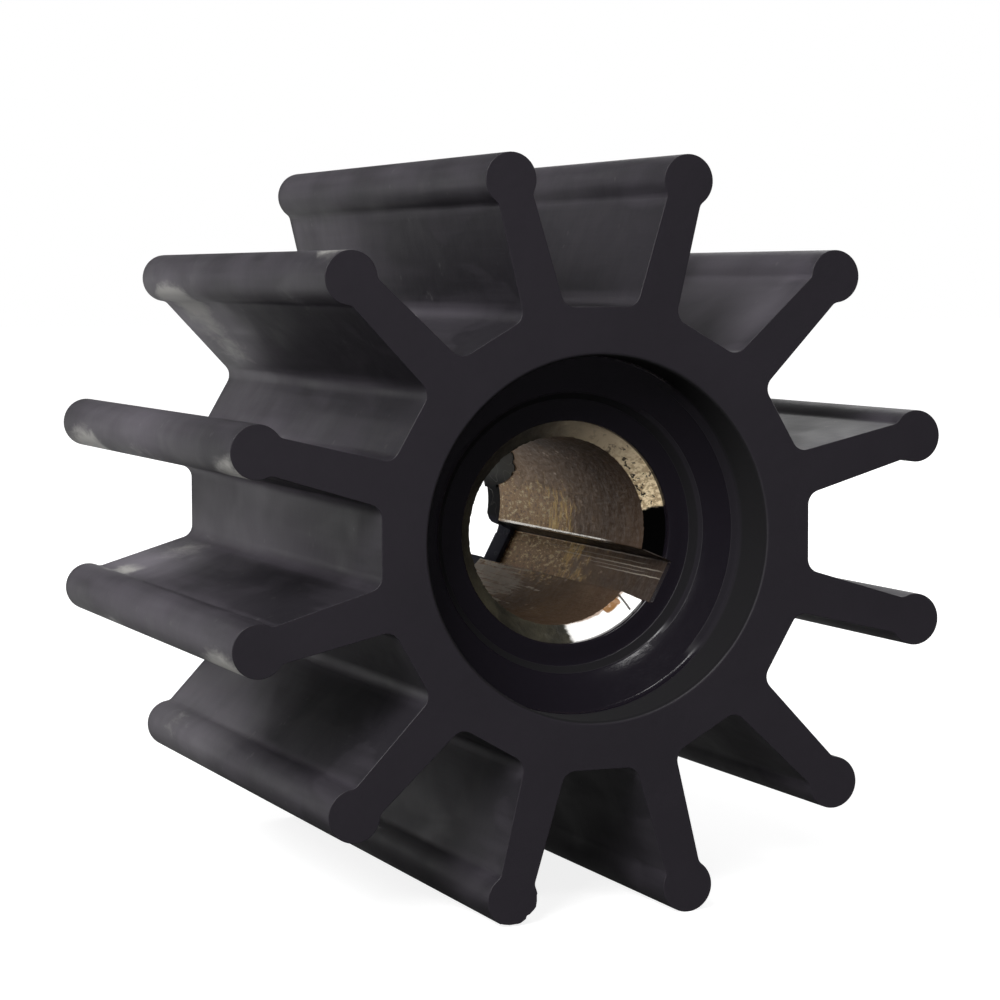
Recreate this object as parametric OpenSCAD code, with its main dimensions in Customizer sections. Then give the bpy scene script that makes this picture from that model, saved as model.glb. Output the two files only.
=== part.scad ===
// Flexible pump impeller: a rubber moulding of hub and beaded blades, bonded to a keyed brass bush.
// The shaft axis is Y and passes through the origin at mid-width; the stepped recess opens towards -Y.

/* [Impeller] */
// Diameter over the tip beads
outer_d = 65; // [62:0.5:68]
// Width of the rubber along the shaft
width = 55.6; // [54:0.1:60]
// Number of blades
blades = 12; // [10:1:12]

/* [Blades] */
// Diameter of the round bead along each blade tip
bead_d = 4.4; // [4:0.1:5]
// Blade thickness beside the bead
tip_t = 3; // [2.4:0.1:3.4]
// Blade thickness at the hub
root_t = 3.7; // [3.4:0.1:4.2]
// Concave radius between blade and bead
neck_r = 0.8; // [0.5:0.1:1.2]
// Concave radius between blade and hub flat
root_r = 1.2; // [0.8:0.1:1.6]

/* [Hub recesses] */
// Width across two opposite flats of the hub
flats_w = 38; // [36:0.1:39]
// Diameter of the recess in both faces
recess_d = 30; // [26:0.1:32]
// Depth of the front recess beside the step
recess_depth = 6.4; // [5.8:0.1:6.8]
// Depth at which its sloping floor reaches the wall
wall_depth = 5.1; // [4.6:0.1:5.6]
// Concave radius where a recess wall meets its floor
recess_r = 0.4; // [0.3:0.1:1.2]
// Outer diameter of the bevelled step in the front recess floor
step_d = 23.8; // [23:0.1:25]
// Width of that bevel
step_bevel = 0.7; // [0.4:0.1:1]
// Depth of the front collar's face
collar_depth = 7.2; // [7:0.1:8]
// Opening that the front collar leaves over the bush's face
collar_d = 18.8; // [18:0.1:20]
// Depth of the back recess
back_depth = 9.4; // [7:0.1:10]
// Width of the break on the rims of both recesses
rim_bevel = 0.3; // [0.1:0.1:0.6]

/* [Bush] */
// Bore for the shaft
bore_d = 16; // [14:0.1:16.5]
// Outside diameter of the bush
bush_d = 23; // [22:0.1:24]
// Depth of the bush's front face below the front of the rubber
bush_depth = 7.9; // [7.7:0.1:8.4]
// Length of the bush
bush_length = 35.1; // [31:0.1:36]
// Width of the 45 degree lead-in at the bore's front
lead_in = 1.4; // [0.4:0.1:1.4]
// Chamfer at the bore's back
bore_chamfer = 0.4; // [0.2:0.1:0.6]

/* [Keyway] */
// Width of the keyway
key_w = 4; // [3:0.1:5]
// Distance from the shaft axis to the keyway's floor
key_floor = 9.9; // [9.6:0.1:10.3]
// Direction of the keyway about the shaft, from +X towards +Z
key_angle = -27.6; // [-45:0.1:0]
// How far the back collar's keyway is shallower and narrower than the bush's
key_shrink = 0.45; // [0:0.05:0.5]

/* [Hidden] */
$fn = 120;
rubber_colour = "#2d292e";
brass_colour = "#a5813f";
// Cuts and blanks run this far past the faces that they meet
over = 0.2;
// Fillet arcs dip this far into both faces, so that each arc ends on a clear edge
dip = 0.004;
pitch = 360 / blades;
first_blade = pitch / 2;
flat_r = flats_w / 2;
bead_r = bead_d / 2;
bead_at = [outer_d / 2 - bead_r, 0];
front = width / 2;
back = -width / 2;
bush_front = front - bush_depth;
bush_back = bush_front - bush_length;
back_floor = back + back_depth;
collar_clear = 0.15;
hub_corner = flat_r / cos(pitch / 2);

// Side of a blade as a line: its outward normal, and how far the line lies from the axis
blade_run = [bead_at[0] - flat_r, (tip_t - root_t) / 2];
side_dir = blade_run / norm(blade_run);
side_normal = [-side_dir[1], side_dir[0]];
side_off = side_normal * [flat_r, root_t / 2];
flat_normal = [cos(pitch / 2), sin(pitch / 2)];

// Where two lines meet, each given by its normal and its distance from the axis
function meet(n, a, m, b) =
    let (det = n[0] * m[1] - n[1] * m[0])
    [(a * m[1] - b * n[1]) / det, (n[0] * b - m[0] * a) / det];

// Centre of the arc that lies a given distance from the blade's side and from the bead
function neck_centre(apart) =
    let (foot = side_normal * (side_off + apart),
         away = foot - bead_at,
         along = away * side_dir,
         gap = away * away - pow(bead_r + apart, 2))
    foot - side_dir * (along + sqrt(along * along - gap));

// Concave fillet: the four-sided blank between the arc's centre, the two faces and a point inside the solid
module fillet(centre, r, to_a, inside, to_b) {
    difference() {
        polygon([centre, centre + to_a * (r + over), inside, centre + to_b * (r + over)]);
        translate(centre) circle(r);
    }
}

module root_fillet() {
    apart = root_r - dip;
    centre = meet(side_normal, side_off + apart, flat_normal, flat_r + apart);
    corner = meet(side_normal, side_off - over, flat_normal, flat_r - over);
    fillet(centre, root_r, -side_normal, corner, -flat_normal);
}

module neck_fillet() {
    centre = neck_centre(neck_r - dip);
    to_bead = (bead_at - centre) / norm(bead_at - centre);
    fillet(centre, neck_r, -side_normal, [bead_at[0] - bead_r / 2, 0], to_bead);
}

module blade(length) {
    linear_extrude(length)
        polygon([[0, -root_t / 2], [flat_r, -root_t / 2], [bead_at[0], -tip_t / 2],
                 [bead_at[0], tip_t / 2], [flat_r, root_t / 2], [0, root_t / 2]]);
    translate(bead_at) cylinder(h = length, r = bead_r);
    for (side = [0, 1]) mirror([0, side, 0]) {
        linear_extrude(length) root_fillet();
        linear_extrude(length) neck_fillet();
    }
}

// Flat-sided hub and every blade, trimmed to the width by one cut at each end
module rubber_blank() {
    length = width + 2 * over;
    intersection() {
        translate([0, 0, back - over]) {
            linear_extrude(length)
                polygon([for (i = [0 : blades - 1])
                    hub_corner * [cos(first_blade + i * pitch), sin(first_blade + i * pitch)]]);
            for (i = [0 : blades - 1]) rotate(first_blade + i * pitch) blade(length);
        }
        translate([0, 0, back]) cylinder(h = width, d = outer_d + 2 * over);
    }
}

// Profile of the front recess and the front collar's opening, from the axis outwards
module front_recess_profile() {
    radius = recess_d / 2;
    foot = [radius, front - wall_depth];
    step_edge = [step_d / 2, front - recess_depth];
    floor_dir = (foot - step_edge) / norm(foot - step_edge);
    floor_normal = [-floor_dir[1], floor_dir[0]];
    apart = recess_r - dip;
    centre = meet(floor_normal, floor_normal * foot + apart, [1, 0], radius - apart);
    difference() {
        polygon([[0, front + over], [radius, front + over], foot, step_edge,
                 [step_d / 2 - step_bevel, front - collar_depth], [0, front - collar_depth]]);
        fillet(centre, recess_r, [1, 0], foot + [over, -over], -floor_normal);
    }
    translate([0, bush_front - over]) square([collar_d / 2, bush_depth]);
    rim_profile(front, 1);
}

// Break on the rim of a recess; side is 1 on the front face and -1 on the back
module rim_profile(face, side) {
    radius = recess_d / 2;
    polygon([[0, face - side * rim_bevel], [radius, face - side * rim_bevel], [radius + rim_bevel, face],
             [radius + rim_bevel, face + side * over], [0, face + side * over]]);
}

module back_recess_profile() {
    difference() {
        translate([0, back - over]) square([recess_d / 2, back_depth + over]);
        difference() {
            translate([recess_d / 2 - recess_r, back_floor - recess_r]) square(recess_r + over);
            translate([recess_d / 2 - recess_r, back_floor - recess_r]) circle(recess_r);
        }
    }
    rim_profile(back, -1);
}

// Bar that cuts a keyway of a given width and floor between two heights on the axis
module key_bar(w, floor_r, low, high) {
    rotate(key_angle) translate([0, -w / 2, low]) cube([floor_r, w, high - low]);
}

module rubber_body() {
    color(rubber_colour) rotate([90, 0, 0]) difference() {
        rubber_blank();
        rotate_extrude() front_recess_profile();
        rotate_extrude() back_recess_profile();
        translate([0, 0, bush_back]) cylinder(h = bush_length, d = bush_d);
        translate([0, 0, back_floor - over])
            cylinder(h = bush_back - back_floor + 2 * over, d = bore_d + 2 * collar_clear);
        key_bar(key_w, key_floor, bush_front - over, front);
        key_bar(key_w - key_shrink, key_floor - key_shrink, back_floor - over, bush_back + over);
    }
}

module bush() {
    color(brass_colour) rotate([90, 0, 0]) difference() {
        translate([0, 0, bush_back]) cylinder(h = bush_length, d = bush_d);
        translate([0, 0, bush_back - over]) cylinder(h = bush_length + 2 * over, d = bore_d);
        rotate_extrude() bore_end_profile(bush_front, 1, lead_in);
        rotate_extrude() bore_end_profile(bush_back, -1, bore_chamfer);
        key_bar(key_w, key_floor, bush_back - over, bush_front + over);
    }
}

// Cone of a given width that opens one end of the bore; side is 1 at the front and -1 at the back
module bore_end_profile(face, side, wide) {
    polygon([[0, face - side * wide], [bore_d / 2, face - side * wide], [bore_d / 2 + wide, face],
             [bore_d / 2 + wide, face + side * over], [0, face + side * over]]);
}

rubber_body();
bush();
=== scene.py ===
from math import atan2, cos, hypot, pi, radians, sin, sqrt, tan

import bmesh
import bpy
from mathutils import Matrix, Vector


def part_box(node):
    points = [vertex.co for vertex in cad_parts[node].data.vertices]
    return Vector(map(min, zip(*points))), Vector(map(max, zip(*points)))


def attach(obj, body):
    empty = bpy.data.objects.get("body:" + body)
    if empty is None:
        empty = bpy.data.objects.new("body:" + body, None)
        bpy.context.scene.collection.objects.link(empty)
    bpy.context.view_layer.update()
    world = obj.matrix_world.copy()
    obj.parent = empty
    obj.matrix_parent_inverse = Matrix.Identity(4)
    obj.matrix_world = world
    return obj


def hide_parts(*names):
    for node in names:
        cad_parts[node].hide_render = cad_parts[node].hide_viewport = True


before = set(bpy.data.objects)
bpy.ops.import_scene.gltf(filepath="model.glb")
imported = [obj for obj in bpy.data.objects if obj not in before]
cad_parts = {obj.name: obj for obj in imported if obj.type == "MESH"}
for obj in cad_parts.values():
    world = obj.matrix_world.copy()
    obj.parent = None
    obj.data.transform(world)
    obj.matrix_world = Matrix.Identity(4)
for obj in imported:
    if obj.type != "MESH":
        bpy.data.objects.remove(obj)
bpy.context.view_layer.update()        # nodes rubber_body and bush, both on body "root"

rubberLow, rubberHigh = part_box("rubber_body")
bushLow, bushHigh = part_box("bush")
frontY, backY = rubberLow.y, rubberHigh.y
brassFrontY, brassBackY = bushLow.y, bushHigh.y
toMm = 1000                        # the meshes are in metres, the materials and the ragged outlines in mm
same, near = 1e-6, 1e-5            # places this close count as one, and as on the same wall
beyond, overlap = 0.001, 0.0001    # how far cutters run past a face, and into a hollow that is cut already
print("frame loaded, the rubber is", round((backY - frontY) * toMm, 1), "mm wide")


# Small tools for working as by hand

def objectMode():
    if bpy.context.object and bpy.context.object.mode != "OBJECT":
        bpy.ops.object.mode_set(mode="OBJECT")


def selectNothing():
    objectMode()
    bpy.ops.object.select_all(action="DESELECT")


def selectOnly(*objects):
    selectNothing()
    for o in objects:
        o.select_set(True)
    bpy.context.view_layer.objects.active = objects[0]


def editMode(o):
    selectOnly(o)
    bpy.ops.object.mode_set(mode="EDIT")
    bpy.ops.mesh.select_mode(type="VERT")
    bpy.ops.mesh.select_all(action="DESELECT")


def pick(o, kind, test):
    # selects in edit mode what passes the test: a vertex by its place, an edge by its two ends
    bpy.ops.mesh.select_mode(type=kind)
    bpy.ops.mesh.select_all(action="DESELECT")
    mesh = bmesh.from_edit_mesh(o.data)
    count = 0
    for item in mesh.verts if kind == "VERT" else mesh.edges:
        ends = [item.co] if kind == "VERT" else [vertex.co for vertex in item.verts]
        if test(*ends):
            item.select_set(True)
            count += 1
    mesh.select_flush_mode()
    bmesh.update_edit_mesh(o.data)
    return count


def pickAll():
    bpy.ops.mesh.select_all(action="SELECT")


def useModifier(o, kind, **settings):
    selectOnly(o)
    bpy.ops.object.modifier_add(type=kind)
    modifier = o.modifiers[-1]
    for name, value in settings.items():
        setattr(modifier, name, value)
    bpy.ops.object.modifier_apply(modifier=modifier.name)


def cut(o, cutter, operation="DIFFERENCE"):
    useModifier(o, "BOOLEAN", operation=operation, solver="EXACT", object=cutter)
    bpy.data.objects.remove(cutter)


def closeUp(o):
    # closes seams and poles, and turns the faces outwards
    editMode(o)
    pickAll()
    bpy.ops.mesh.remove_doubles(threshold=same)
    bpy.ops.mesh.normals_make_consistent(inside=False)
    objectMode()


def smooth(o):
    selectOnly(o)
    bpy.ops.object.shade_smooth_by_angle(angle=radians(38))
    useModifier(o, "WEIGHTED_NORMAL", keep_sharp=True, weight=80)


# A line drawn vertex by vertex: "section" lies across the shaft axis, in X and Z, "profile" lies
# along it, as radius and Y, and "side" lies along it, as Z and Y. Turns go from the first to the second.

def startLine(name, plane, u, v):
    selectNothing()
    bpy.ops.mesh.primitive_plane_add(size=0.001)
    o = bpy.context.object
    o.name = name
    bpy.ops.object.mode_set(mode="EDIT")
    bpy.ops.mesh.select_mode(type="VERT")
    pickAll()
    bpy.ops.mesh.merge(type="CENTER")
    pen = {"object": o, "plane": plane, "u": u, "v": v}
    bpy.ops.transform.translate(value=inSpace(pen, u, v))
    return pen


def inSpace(pen, u, v):
    return Vector({"section": (u, 0, v), "profile": (u, v, 0), "side": (0, v, u)}[pen["plane"]])


def lineTo(pen, u, v, steps=1):
    move = inSpace(pen, (u - pen["u"]) / steps, (v - pen["v"]) / steps)
    for step in range(steps):
        bpy.ops.mesh.extrude_vertices_move(TRANSFORM_OT_translate={"value": move})
    pen["u"], pen["v"] = u, v


def arcTo(pen, centre, turn, steps):
    axis = (0, 1, 0) if pen["plane"] == "section" else (0, 0, -1)
    bpy.ops.mesh.spin(steps=steps, angle=turn, center=inSpace(pen, *centre), axis=axis)
    du, dv = pen["u"] - centre[0], pen["v"] - centre[1]
    pen["u"] = centre[0] + du * cos(turn) - dv * sin(turn)
    pen["v"] = centre[1] + du * sin(turn) + dv * cos(turn)


def drawOut(x, y):
    # draws the selected face out along X and the shaft
    bpy.ops.mesh.extrude_region_move(TRANSFORM_OT_translate={"value": (x, y, 0)})


def lathe(pen, steps):
    # turns the drawn profile right round the shaft axis
    pickAll()
    bpy.ops.mesh.spin(steps=steps, angle=2 * pi, center=(0, 0, 0), axis=(0, 1, 0))
    closeUp(pen["object"])
    return pen["object"]


def turnAbout(o, angle):
    # turns a whole mesh about the shaft axis, from +X towards +Z
    o.data.transform(Matrix.Rotation(-angle, 4, "Y"))


# The keyway, which both pieces share

keyway = {
    "angle": radians(-27.6),
    "width": 0.0040,         # in the brass and the front collar
    "floorR": 0.0099,        # from the shaft axis
    "backWidth": 0.00355,    # the back collar's is a little smaller
    "backFloorR": 0.00945,
    "cornerR": 0.0002,       # at the foot of each side wall
}


def keyBar(width, floorR, lowY, highY):
    # a bar along the shaft that cuts the keyway, with its two floor corners rounded
    selectNothing()
    bpy.ops.mesh.primitive_cube_add(size=1)
    bar = bpy.context.object
    bpy.ops.object.mode_set(mode="EDIT")
    pickAll()
    bpy.ops.transform.resize(value=(floorR, highY - lowY, width))
    bpy.ops.transform.translate(value=(floorR / 2, (lowY + highY) / 2, 0))
    pick(bar, "EDGE", lambda a, b: min(a.x, b.x) > floorR - near and abs(a.z - b.z) < same)
    bpy.ops.mesh.bevel(offset=keyway["cornerR"], segments=4)
    objectMode()
    turnAbout(bar, keyway["angle"])
    return bar


# The rubber moulding

rubber = {
    "bladeCount": 12,
    "beadR": 0.0022,
    "tipThick": 0.0030,       # blade beside the bead
    "rootThick": 0.0037,      # blade at the hub
    "neckR": 0.0008,
    "rootR": 0.0012,
    "flatR": 0.0190,          # from the axis to a flat of the hub
    "frontEdge": 0.00006,     # rounding of the moulded edges on the front face
    "backEdge": 0.00040,      # and on the back face
    "lengthSteps": 14,
    "latheSteps": 192,
    "recessR": 0.0150,
    "rimRound": 0.00035,
    "recessDepth": 0.0064,    # beside the step
    "wallDepth": 0.0051,      # where the sloping floor reaches the wall
    "recessCorner": 0.0004,
    "stepR": 0.0119,          # outer edge of the bevelled step
    "stepInnerR": 0.0112,
    "collarDepth": 0.0072,
    "collarR": 0.0094,
    "lipRound": 0.00018,
    "backCollarR": 0.00815,
    "backRecessDepth": 0.0094,
    "raggedBlade": -105,      # the blade whose bead has a ragged front end
    "raggedDepth": 0.0009,
    # the outline of what that bead lacks: angle about its middle, and mm from there
    "raggedOutline": [
        (14, 2.30), (8, 2.12), (-6, 2.11), (-19, 2.13), (-27, 2.05), (-33, 1.98), (-41, 1.93), (-47, 1.83),
        (-51, 1.86), (-55, 1.97), (-63, 1.99), (-72, 2.04), (-78, 2.02), (-100, 2.05), (-116, 2.09),
        (-124, 2.30), (-124, 3.0), (-55, 3.6), (14, 3.0),
    ],
}

# Pieces of a sleeve about the shaft: radii and depths in mm, the angle of the middle, and an outline's
# corners as angle and depth. The first is torn off the back collar's far edge, above the keyway.
ringPatches = {
    "torn": {
        "radii": (7.5, 9.6), "depths": (42.0, 48.0), "middle": -15,
        "outline": [(-9.0, 46.3), (-11.0, 45.9), (-13.2, 45.4), (-14.6, 44.7), (-15.7, 44.0), (-17.3, 43.1),
                    (-21.0, 43.1), (-21.0, 47.5), (-9.0, 47.5)],
    },
    # a thin ragged film of rubber that reaches from the back collar over the bore's wall
    "flash": {
        "radii": (7.88, 7.99), "depths": (34.0, 44.1), "middle": 38,
        "outline": [(11.0, 44.5), (11.6, 43.1), (13.2, 41.6), (15.0, 40.5), (18.0, 39.2), (20.5, 38.2),
                    (22.5, 38.0), (24.6, 36.9), (28.0, 36.4), (31.0, 36.5), (34.0, 35.6), (39.0, 34.9),
                    (44.0, 35.4), (50.0, 36.9), (55.0, 39.4), (59.0, 41.5), (63.0, 43.0), (66.0, 44.5)],
    },
    # where it joins the collar it is as thick as the gap between the bore and the collar
    "flash_joint": {
        "radii": (7.88, 8.4), "depths": (43.05, 46.1), "middle": 38,
        "outline": [(10.0, 42.0), (67.0, 42.0), (67.0, 47.0), (10.0, 47.0)],
    },
}


def drawHalfBlade(pen, bladeTurn):
    # from the middle of the flat between two blades, over root fillet, side and neck, to the tip
    flatNormal = Vector((cos(bladeTurn), sin(bladeTurn)))
    beadAt = Vector((outerR - rubber["beadR"], 0))
    side = Vector((beadAt.x - rubber["flatR"], (rubber["tipThick"] - rubber["rootThick"]) / 2)).normalized()
    sideNormal = Vector((-side.y, side.x))
    sideOff = sideNormal.dot(Vector((rubber["flatR"], rubber["rootThick"] / 2)))
    # centre of the root fillet: where the two faces meet once both are moved out by its radius
    a, b = flatNormal, sideNormal
    fa, fb = rubber["flatR"] + rubber["rootR"], sideOff + rubber["rootR"]
    det = a.x * b.y - a.y * b.x
    rootAt = Vector(((fa * b.y - fb * a.y) / det, (a.x * fb - b.x * fa) / det))
    # centre of the neck fillet, which touches the side and the bead
    foot = sideNormal * (sideOff + rubber["neckR"])
    along = (foot - beadAt).dot(side)
    gap = (foot - beadAt).length_squared - (rubber["beadR"] + rubber["neckR"]) ** 2
    neckAt = foot - side * (along + sqrt(along * along - gap))
    towardsNeck = (neckAt - beadAt).normalized()
    neckAngle = atan2(towardsNeck.y, towardsNeck.x)
    sideAngle = atan2(-sideNormal.y, -sideNormal.x)
    rootTurn = (sideAngle - atan2(-flatNormal.y, -flatNormal.x)) % (2 * pi)
    neckTurn = (neckAngle + pi - sideAngle) % (2 * pi)

    lineTo(pen, *(rootAt - flatNormal * rubber["rootR"]), steps=3)
    arcTo(pen, rootAt, rootTurn, 7)
    lineTo(pen, *(neckAt - sideNormal * rubber["neckR"]), steps=6)
    arcTo(pen, neckAt, neckTurn, 6)
    arcTo(pen, beadAt, -neckAngle, 18)


def buildBlank():
    # one half blade is drawn, mirrored, copied round the shaft, filled and drawn out along it
    halfPitch = pi / rubber["bladeCount"]
    flatMiddle = (rubber["flatR"] * cos(halfPitch), rubber["flatR"] * sin(halfPitch))
    pen = startLine("rubber_moulding", "section", *flatMiddle)
    drawHalfBlade(pen, halfPitch)
    o = pen["object"]
    pickAll()
    bpy.ops.mesh.duplicate()
    bpy.ops.transform.resize(value=(1, 1, -1), center_override=(0, 0, 0))
    pickAll()
    bpy.ops.mesh.spin(steps=rubber["bladeCount"] - 1, angle=2 * pi - 2 * halfPitch, dupli=True,
                      center=(0, 0, 0), axis=(0, 1, 0))
    pickAll()
    bpy.ops.mesh.remove_doubles(threshold=2 * same)
    bpy.ops.transform.translate(value=(0, frontY, 0))
    bpy.ops.mesh.edge_face_add()
    step = (backY - frontY) / rubber["lengthSteps"]
    for n in range(rubber["lengthSteps"]):
        drawOut(0, step)
    objectMode()
    turnAbout(o, halfPitch)
    closeUp(o)
    return o


def roundFaceEdges(o, y, width):
    # the moulded edge between an end face and the blades' sides
    editMode(o)
    found = pick(o, "EDGE", lambda a, b: abs(a.y - y) < same and abs(b.y - y) < same)
    bpy.ops.mesh.bevel(offset=width, segments=3, profile=0.5)
    objectMode()
    return found


def ringPatch(name):
    patch = ringPatches[name]
    innerR, outerR = [radius / toMm for radius in patch["radii"]]
    lowY, highY = [frontY + depth / toMm for depth in patch["depths"]]
    pen = startLine(name, "profile", innerR, lowY)
    lineTo(pen, outerR, lowY)
    lineTo(pen, outerR, highY)
    lineTo(pen, innerR, highY)
    lineTo(pen, innerR, lowY)
    sleeve = lathe(pen, rubber["latheSteps"])
    corners = [((innerR + outerR) / 2 * sin(radians(angle - patch["middle"])), frontY + depth / toMm)
               for angle, depth in patch["outline"]]
    pen = startLine(name + "_outline", "side", *corners[0])
    for u, v in corners[1:]:
        lineTo(pen, u, v)
    pickAll()
    bpy.ops.mesh.edge_face_add()
    drawOut(outerR * 2, 0)
    objectMode()
    closeUp(pen["object"])
    turnAbout(pen["object"], radians(patch["middle"]))
    cut(sleeve, pen["object"], "INTERSECT")
    return sleeve


def insideProfile():
    # all that is hollow along the shaft: recess, step, collar, the bush's seat, back collar and recess
    r = rubber
    corner, lip = r["recessCorner"], r["lipRound"]
    pen = startLine("hollow", "profile", 0, frontY - beyond)
    lineTo(pen, r["recessR"], frontY - beyond)
    slope = atan2(r["recessDepth"] - r["wallDepth"], r["recessR"] - r["stepR"])
    arcTop = frontY + r["wallDepth"] - corner * tan((pi / 2 - slope) / 2)
    lineTo(pen, r["recessR"], arcTop, steps=4)
    arcTo(pen, (r["recessR"] - corner, arcTop), pi / 2 - slope, 6)
    lineTo(pen, r["stepR"] + lip * 0.4, frontY + r["recessDepth"] - lip * 0.4 * tan(slope), steps=3)
    lineTo(pen, r["stepR"] - lip * 0.5, frontY + r["recessDepth"] + lip * 0.5)
    lineTo(pen, r["stepInnerR"] + lip * 0.5, frontY + r["collarDepth"] - lip * 0.4)
    lineTo(pen, r["stepInnerR"] - lip * 0.6, frontY + r["collarDepth"])
    lineTo(pen, r["collarR"] + lip, frontY + r["collarDepth"], steps=2)
    arcTo(pen, (r["collarR"] + lip, frontY + r["collarDepth"] + lip), -pi / 2, 4)
    lineTo(pen, r["collarR"], brassFrontY, steps=2)
    lineTo(pen, bushHigh.x, brassFrontY)
    lineTo(pen, bushHigh.x, brassBackY)
    lineTo(pen, r["backCollarR"], brassBackY)
    lineTo(pen, r["backCollarR"], backY - r["backRecessDepth"], steps=8)
    lineTo(pen, r["recessR"] - corner, backY - r["backRecessDepth"])
    arcTo(pen, (r["recessR"] - corner, backY - r["backRecessDepth"] + corner), pi / 2, 6)
    lineTo(pen, r["recessR"], backY + beyond, steps=4)
    lineTo(pen, 0, backY + beyond)
    return lathe(pen, r["latheSteps"])


def flash():
    film = ringPatch("flash")
    cut(film, ringPatch("flash_joint"), "UNION")
    return film


def raggedBead():
    # what is missing from the front end of the lowest bead
    beadAt = outerR - rubber["beadR"]
    turn = radians(rubber["raggedBlade"])
    middle = Vector((beadAt * cos(turn), beadAt * sin(turn)))
    corners = [middle + r / toMm * Vector((cos(radians(a)), sin(radians(a))))
               for a, r in rubber["raggedOutline"]]
    pen = startLine("ragged", "section", *corners[0])
    for corner in corners[1:]:
        lineTo(pen, *corner)
    pickAll()
    bpy.ops.mesh.edge_face_add()
    bpy.ops.transform.translate(value=(0, frontY - beyond, 0))
    drawOut(0, beyond + rubber["raggedDepth"])
    objectMode()
    closeUp(pen["object"])
    return pen["object"]


def roundRims(o):
    # the rims of both recesses
    editMode(o)

    def onRim(p):
        onFace = min(abs(p.y - frontY), abs(p.y - backY)) < same
        return onFace and abs(hypot(p.x, p.z) - rubber["recessR"]) < 2 * near

    found = pick(o, "EDGE", lambda a, b: onRim(a) and onRim(b))
    bpy.ops.mesh.bevel(offset=rubber["rimRound"], segments=4, profile=0.5)
    objectMode()
    return found


halfPitch = pi / rubber["bladeCount"]
outerR = (rubberHigh.x - rubber["beadR"]) / cos(halfPitch) + rubber["beadR"]
moulding = buildBlank()
print("blank:", len(moulding.data.polygons), "faces; edges rounded:",
      roundFaceEdges(moulding, frontY, rubber["frontEdge"]),
      roundFaceEdges(moulding, backY, rubber["backEdge"]))
cut(moulding, insideProfile())
print("rim edges rounded:", roundRims(moulding))
cut(moulding, keyBar(keyway["width"], keyway["floorR"], frontY, brassFrontY + overlap))
cut(moulding, keyBar(keyway["backWidth"], keyway["backFloorR"], brassBackY - overlap, backY - beyond))
cut(moulding, ringPatch("torn"))
cut(moulding, raggedBead())
closeUp(moulding)
selectOnly(moulding, flash())
bpy.ops.object.join()
smooth(moulding)
print("rubber moulding:", len(moulding.data.polygons), "faces")


# The brass bush

brass = {
    "latheSteps": 288,
    "boreR": 0.0080,
    "leadIn": 0.0014,         # the cone that opens the bore's front
    "leadSteps": 6,
    "backChamfer": 0.0004,
    "outerChamfer": 0.0003,
    "keyEdge": 0.00016,       # break along the keyway's two long edges
    "ragged": 0.00005,        # how far the edge between bore and lead-in strays
}


def buildBush():
    r, leadIn, chamfer, outer = brass["boreR"], brass["leadIn"], brass["backChamfer"], brass["outerChamfer"]
    pen = startLine("brass_bush", "profile", r, brassFrontY + leadIn)
    lineTo(pen, r + leadIn, brassFrontY, steps=brass["leadSteps"])
    lineTo(pen, bushHigh.x - outer, brassFrontY, steps=3)
    lineTo(pen, bushHigh.x, brassFrontY + outer)
    lineTo(pen, bushHigh.x, brassBackY - outer, steps=4)
    lineTo(pen, bushHigh.x - outer, brassBackY)
    lineTo(pen, r + chamfer, brassBackY, steps=3)
    lineTo(pen, r, brassBackY - chamfer)
    lineTo(pen, r, brassFrontY + leadIn, steps=24)
    o = lathe(pen, brass["latheSteps"])
    # the edge between the bore and its lead-in is worn unevenly
    editMode(o)
    pick(o, "VERT", lambda p: abs(p.y - brassFrontY - leadIn) < near and hypot(p.x, p.z) < r + near)
    bpy.ops.transform.vertex_random(offset=brass["ragged"], uniform=0.2, seed=4)
    objectMode()
    return o


def breakKeyEdges(o):
    # the two long edges where the keyway meets the bore
    editMode(o)
    across = Vector((-sin(keyway["angle"]), cos(keyway["angle"])))
    low = brassFrontY + brass["leadIn"] - near

    def onEdge(p):
        onWall = abs(abs(Vector((p.x, p.z)).dot(across)) - keyway["width"] / 2) < near
        return onWall and hypot(p.x, p.z) < brass["boreR"] + near and p.y > low

    found = pick(o, "EDGE", lambda a, b: onEdge(a) and onEdge(b))
    bpy.ops.mesh.bevel(offset=brass["keyEdge"], segments=2, profile=0.5)
    objectMode()
    return found


bush = buildBush()
cut(bush, keyBar(keyway["width"], keyway["floorR"], brassFrontY - beyond, brassBackY + beyond))
print("keyway edges broken:", breakKeyEdges(bush))
closeUp(bush)
smooth(bush)
print("brass bush:", len(bush.data.polygons), "faces")


# Materials, built node by node as in the shader editor

def isSocket(value):
    return isinstance(value, bpy.types.NodeSocket)


def feed(socket, value):
    # a socket takes another node's output or a plain value
    if isSocket(value):
        socket.id_data.links.new(value, socket)
    else:
        socket.default_value = value


def addNode(beside, kind):
    # a new node in the tree that a socket or node belongs to
    return beside.id_data.nodes.new("ShaderNode" + kind)


def calc(operation, a, b=0.0, clamp=False):
    node = addNode(a if isSocket(a) else b, "Math")
    node.operation = operation
    node.use_clamp = clamp
    feed(node.inputs[0], a)
    feed(node.inputs[1], b)
    return node.outputs[0]


def times(product, *factors):
    for factor in factors:
        product = calc("MULTIPLY", product, factor)
    return product


def plus(total, *parts):
    for part in parts:
        total = calc("ADD", total, part)
    return total


def minus(a, b):
    return calc("SUBTRACT", a, b)


def ramp(value, low, high, toLow=0.0, toHigh=1.0, kind="SMOOTHSTEP"):
    # 0 and 1 by two numbers, the larger one first where it falls, or two other values there
    node = addNode(value, "MapRange")
    node.interpolation_type = kind
    for socket, number in (("Value", value), ("From Min", low), ("From Max", high), ("To Min", toLow),
                           ("To Max", toHigh)):
        feed(node.inputs[socket], number)
    return node.outputs["Result"]


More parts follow.
